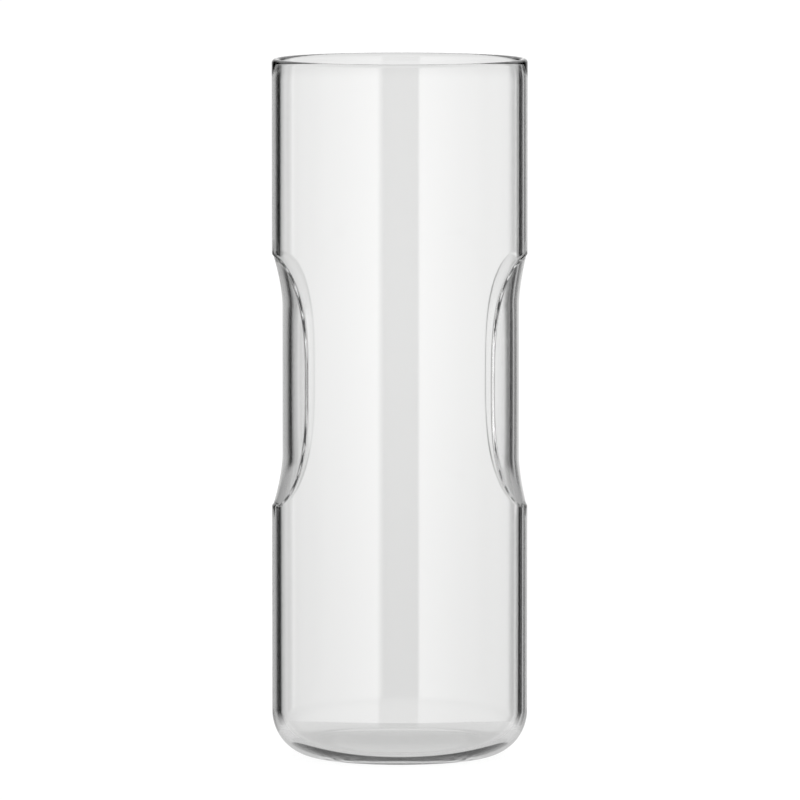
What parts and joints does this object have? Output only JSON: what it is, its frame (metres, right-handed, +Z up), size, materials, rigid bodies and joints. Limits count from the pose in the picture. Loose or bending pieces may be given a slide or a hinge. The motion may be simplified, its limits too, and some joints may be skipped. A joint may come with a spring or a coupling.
{
  "type": "water carafe",
  "caption": "Open clear glass water carafe: a tall straight cylinder with a rounded heel and an oval grip recess pressed into each side.",
  "frame": {"origin": "middle of the flat underside, on the surface that the carafe stands on", "axes": "+Z up along the axis of the cylinder, +X out through the middle of one grip recess, -X through the other"},
  "size_m": [0.09, 0.09, 0.246],
  "materials": {
    "clear_glass": "polished"
  },
  "bodies": {
    "root": {"glass_body": "clear_glass"}
  },
  "joints": []
}
